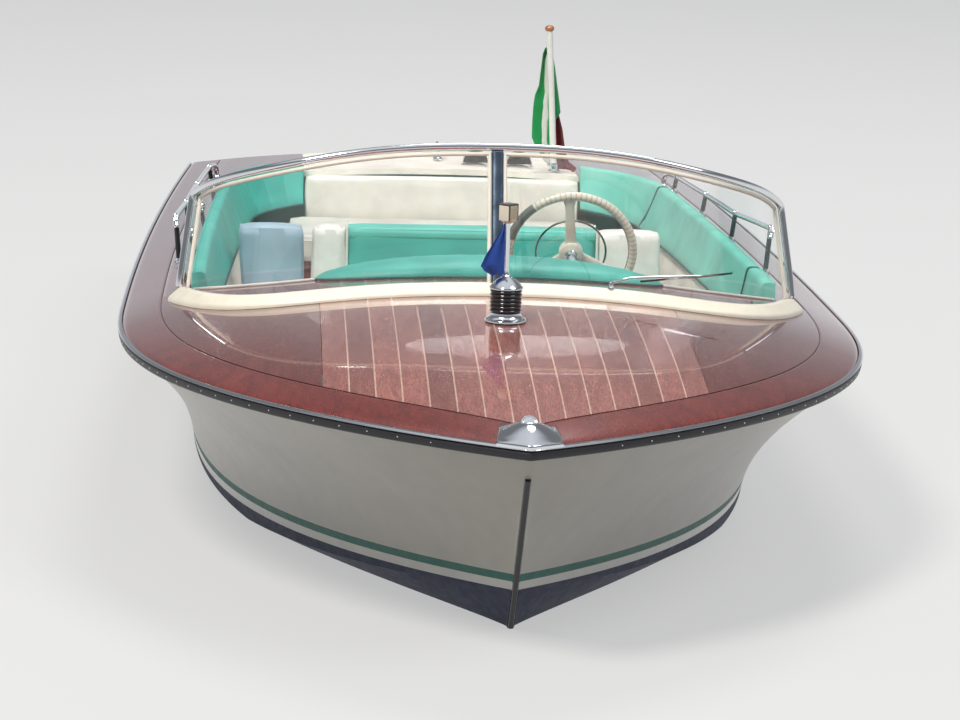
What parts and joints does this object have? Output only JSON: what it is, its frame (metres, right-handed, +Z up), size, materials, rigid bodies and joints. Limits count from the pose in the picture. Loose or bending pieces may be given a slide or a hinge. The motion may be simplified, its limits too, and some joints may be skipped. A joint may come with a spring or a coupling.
{
  "type": "speedboat",
  "caption": "Open mahogany inboard speedboat with a planked foredeck, wrap-round windscreen, padded seats, handrails, propeller and rudder.",
  "frame": {"origin": "amidships on the centreline, at the level of the still water", "axes": "+Y aft towards the transom, +X to port, +Z up"},
  "size_m": [2.1258, 5.7626, 1.7078],
  "materials": {
    "topside_paint": "gloss white paint with boot stripes",
    "mahogany": "varnished, high gloss",
    "planks": "varnished planks with pale seams",
    "chrome": "polished",
    "rubber": "satin",
    "lens": "dark ribbed lens",
    "white_lamp": "cream",
    "pennant_blue": "woven",
    "cream_moulding": "satin",
    "cream_vinyl": "coated cloth",
    "turquoise_vinyl": "coated cloth",
    "glass": "clear",
    "white_plastic": "gloss",
    "bronze": "cast bronze",
    "engine_paint": "enamel",
    "flag_cloth": "woven, green and red",
    "sole": "oiled"
  },
  "bodies": {
    "boat": {"aft_deck": "cream_vinyl", "bow_plate": "chrome", "coaming_pad_port": "turquoise_vinyl", "coaming_pad_starboard": "turquoise_vinyl", "cockpit_sole": "sole", "covering_board_port": "mahogany", "covering_board_starboard": "mahogany", "dash_pad": "turquoise_vinyl", "dashboard": "mahogany", "engine_bearers": "mahogany", "engine_block": "engine_paint", "engine_box": "mahogany", "flag": "flag_cloth", "flagstaff": "white_plastic", "foredeck_panel_port": "mahogany", "foredeck_panel_starboard": "mahogany", "foredeck_planks": "planks", "forward_bulkhead": "mahogany", "front_seat_base": "cream_vinyl", "glass_port": "glass", "glass_starboard": "glass", "gunwale_bead": "chrome", "handrail_port": "chrome", "handrail_starboard": "chrome", "hull": "topside_paint", "instrument_panel": "cream_moulding", "jump_seat_back": "turquoise_vinyl", "jump_seat_cushion": "turquoise_vinyl", "lamp_cap": "chrome", "lamp_flange": "chrome", "lamp_lens": "lens", "main_seat_back": "turquoise_vinyl", "main_seat_cushion": "turquoise_vinyl", "masthead_lamp": "white_lamp", "pennant": "pennant_blue", "rear_backrest": "cream_vinyl", "rub_rail": "rubber", "rudder_boss": "bronze", "shaft_log": "bronze", "shaft_strut": "bronze", "side_deck_port": "mahogany", "side_deck_starboard": "mahogany", "side_lining_port": "cream_vinyl", "side_lining_starboard": "cream_vinyl", "steering_column": "chrome", "stem_band": "rubber", "stern_cleat": "chrome", "throttle_lever": "chrome", "vent_inner": "chrome", "vent_outer": "chrome", "windscreen_base": "cream_moulding", "windscreen_frame": "chrome", "windscreen_post": "chrome", "wiper": "rubber"},
    "wheel": {"steering_wheel": "white_plastic"},
    "screw": {"propeller": "bronze", "propeller_shaft": "chrome"},
    "rudder_blade": {"rudder": "bronze"},
    "engine_cover": {"engine_lid": "mahogany", "rear_cushion": "cream_vinyl"}
  },
  "joints": [
    {"name": "steering", "type": "hinge", "parent": "boat", "child": "wheel", "pos_m": [0.27, -0.5, 0.685], "axis": [0, 0.9511, 0.309], "range_deg": [-540, 540]},
    {"name": "rudder_turn", "type": "hinge", "parent": "boat", "child": "rudder_blade", "pos_m": [0, 2.51, -0.4], "axis": [0, 0, 1], "range_deg": [-35, 35]},
    {"name": "propeller_spin", "type": "hinge", "parent": "boat", "child": "screw", "pos_m": [0, 2.13, -0.445], "axis": [0, 0.9848, -0.1736], "continuous": true},
    {"name": "engine_cover_hinge", "type": "hinge", "parent": "boat", "child": "engine_cover", "pos_m": [0, 1.6027, 0.2803], "axis": [1, 0, 0], "range_deg": [0, 85]}
  ],
  "couplings": [
    {"joint": "rudder_turn", "follows": "steering", "ratio": -0.0648}
  ]
}
